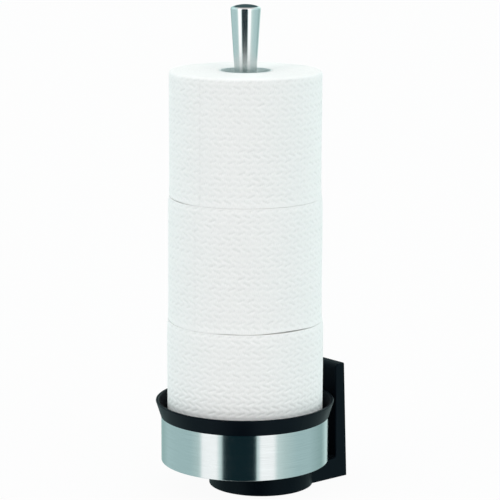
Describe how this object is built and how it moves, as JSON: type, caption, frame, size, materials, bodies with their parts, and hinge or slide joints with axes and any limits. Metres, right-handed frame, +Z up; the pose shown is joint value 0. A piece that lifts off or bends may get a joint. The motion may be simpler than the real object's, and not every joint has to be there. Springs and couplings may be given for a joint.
{
  "type": "toilet roll storage holder",
  "caption": "Wall-mounted toilet roll storage holder: moulded bracket, round tray with a flared lip and steel band, and an upright post with a flared handle for stacked rolls.",
  "frame": {"origin": "on the wall plane, midway between the two wall screw holes in the bracket's back plate", "axes": "+Z up along the post, +Y into the wall, +X along the wall; the holder stands out from the wall towards -Y"},
  "size_m": [0.1426, 0.155, 0.3879],
  "materials": {
    "black_plastic": "satin",
    "brushed_steel": "satin",
    "polished_steel": "polished",
    "zinc_plated_steel": "satin",
    "tissue_paper": "matte",
    "core_board": "matte"
  },
  "bodies": {
    "holder": {"wall_bracket": "black_plastic", "tray": "black_plastic", "steel_band": "brushed_steel", "post_foot": "zinc_plated_steel", "post_tube": "polished_steel", "handle": "polished_steel", "tie_screw": "zinc_plated_steel", "tie_washer": "zinc_plated_steel"},
    "roll_bottom": {"roll_bottom_paper": "tissue_paper", "roll_bottom_core": "core_board"},
    "roll_middle": {"roll_middle_paper": "tissue_paper", "roll_middle_core": "core_board"},
    "roll_top": {"roll_top_paper": "tissue_paper", "roll_top_core": "core_board"}
  },
  "joints": [
    {"name": "bottom_roll_lift", "type": "slide", "parent": "holder", "child": "roll_bottom", "axis": [0, 0, 1], "range_m": [0, 0.358]},
    {"name": "middle_roll_lift", "type": "slide", "parent": "roll_bottom", "child": "roll_middle", "axis": [0, 0, 1], "range_m": [0, 0.259]},
    {"name": "top_roll_lift", "type": "slide", "parent": "roll_middle", "child": "roll_top", "axis": [0, 0, 1], "range_m": [0, 0.16]}
  ]
}
